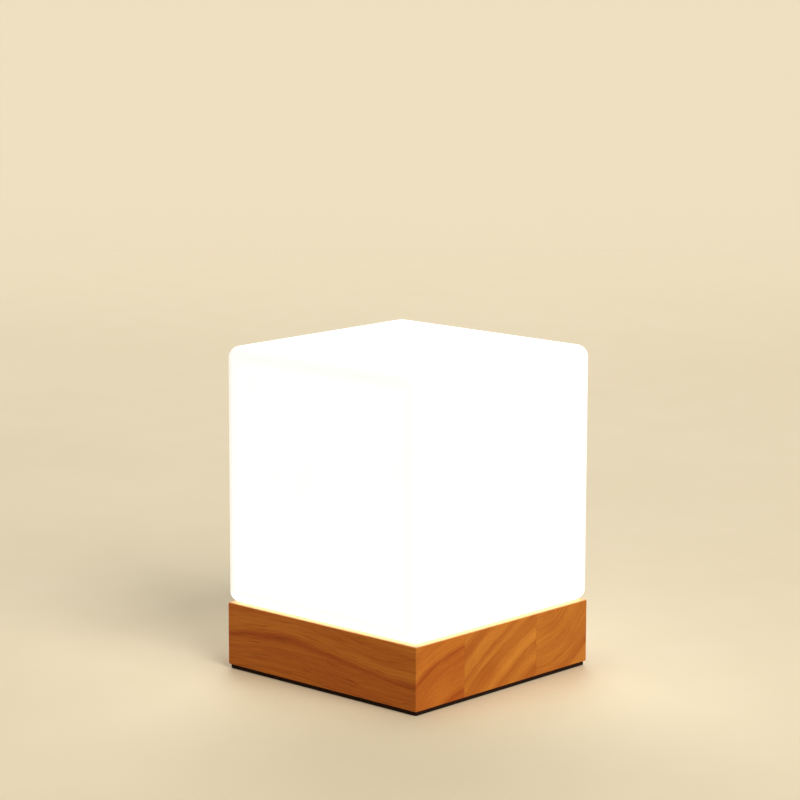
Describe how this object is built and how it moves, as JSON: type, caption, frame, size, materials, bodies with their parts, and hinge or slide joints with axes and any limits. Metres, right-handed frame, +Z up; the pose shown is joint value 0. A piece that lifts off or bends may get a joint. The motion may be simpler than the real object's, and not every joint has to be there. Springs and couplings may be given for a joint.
{
  "type": "bedside lamp",
  "caption": "Bedside lamp: an opal glass cube shade that lifts off a square solid-wood base, with a screw-in bulb, a rear rocker switch and a rear cord entry.",
  "frame": {"origin": "centre of the underside of the anti-slip pad", "axes": "+Z up; -Y is the front face with the long grain, +X the face with the end grain, +Y the rear face with the switch and the cord entry"},
  "size_m": [0.152, 0.155, 0.1928],
  "materials": {
    "warm_wood": "oiled, satin",
    "opal_glass": "satin opal, lit from inside",
    "black_foam": "fine closed-cell foam",
    "black_sheet": "fine grained",
    "clear_silicone": "soft matt",
    "white_enamel": "smooth enamel",
    "zinc_steel": "zinc plated",
    "spring_steel": "bright rolled",
    "brass": "drawn",
    "copper": "bare copper",
    "nickel": "nickel plated",
    "solder": "tinned",
    "holder_plastic": "moulded, satin",
    "white_ceramic": "unglazed",
    "dark_glass": "glassy",
    "bulb_plastic": "moulded, satin",
    "bulb_globe": "opal, lit from inside",
    "board_white": "white mask",
    "led_phosphor": "phosphor",
    "board_green": "green mask",
    "dark_component": "moulded",
    "black_rubber": "moulded",
    "natural_nylon": "moulded",
    "black_nylon": "fine grained",
    "black_gloss": "polished",
    "brown_sheath": "extruded",
    "black_sheath": "extruded",
    "blue_sheath": "extruded"
  },
  "bodies": {
    "base": {"wood_base": "warm_wood", "anti_slip_pad": "black_foam", "bottom_cover": "black_sheet", "cover_screws": "zinc_steel", "shade_gasket": "clear_silicone", "seat_plate": "white_enamel", "shade_clips": "spring_steel", "plate_screws": "zinc_steel", "threaded_nipple": "brass", "flat_washer": "zinc_steel", "lock_washer": "spring_steel", "nipple_nut": "brass", "holder_dome": "holder_plastic", "holder_lock_screw": "zinc_steel", "holder_sleeve": "holder_plastic", "holder_core": "white_ceramic", "holder_screw_shell": "brass", "holder_centre_contact": "brass", "holder_side_contact": "brass", "holder_terminal_screws": "zinc_steel", "cord_grommet": "black_rubber", "terminal_block": "natural_nylon", "terminal_sleeves": "brass", "terminal_clamp_screws": "zinc_steel", "terminal_block_screw": "zinc_steel", "live_lead": "brown_sheath", "switched_lead": "black_sheath", "neutral_lead": "blue_sheath", "wire_ends": "copper", "switch_housing": "black_nylon", "switch_terminals": "brass", "push_on_connectors": "brass"},
    "shade": {"glass_shade": "opal_glass"},
    "bulb_tip": {"bulb_tip_contact": "solder"},
    "bulb": {"bulb_cap_insulator": "dark_glass", "bulb_screw_cap": "nickel", "bulb_housing": "bulb_plastic", "bulb_diffuser": "bulb_globe", "bulb_led_board": "board_white", "bulb_led_chips": "led_phosphor", "bulb_driver_board": "board_green", "bulb_driver_parts": "dark_component"},
    "rocker": {"switch_rocker": "black_gloss", "switch_plunger": "natural_nylon", "switch_spring": "spring_steel"},
    "contact_lever": {"switch_contact_lever": "copper"}
  },
  "joints": [
    {"name": "shade_lift", "type": "slide", "parent": "base", "child": "shade", "axis": [0, 0, 1], "range_m": [0, 0.13]},
    {"name": "bulb_rise", "type": "slide", "parent": "base", "child": "bulb_tip", "axis": [0, 0, 1], "range_m": [0, 0.017]},
    {"name": "bulb_turn", "type": "hinge", "parent": "bulb_tip", "child": "bulb", "pos_m": [0, 0, 0.0664], "axis": [0, 0, 1], "range_deg": [0, 2160]},
    {"name": "rocker_tilt", "type": "hinge", "parent": "base", "child": "rocker", "pos_m": [0.038, 0.0753, 0.016], "axis": [0, 0, 1], "range_deg": [-18, 0]},
    {"name": "lever_tilt", "type": "hinge", "parent": "base", "child": "contact_lever", "pos_m": [0.038, 0.067, 0.016], "axis": [0, 0, 1], "range_deg": [0, 24]}
  ],
  "couplings": [
    {"joint": "bulb_rise", "follows": "bulb_turn", "m_per_rad": 0.00044914},
    {"joint": "lever_tilt", "follows": "rocker_tilt", "ratio": -1.3333}
  ]
}
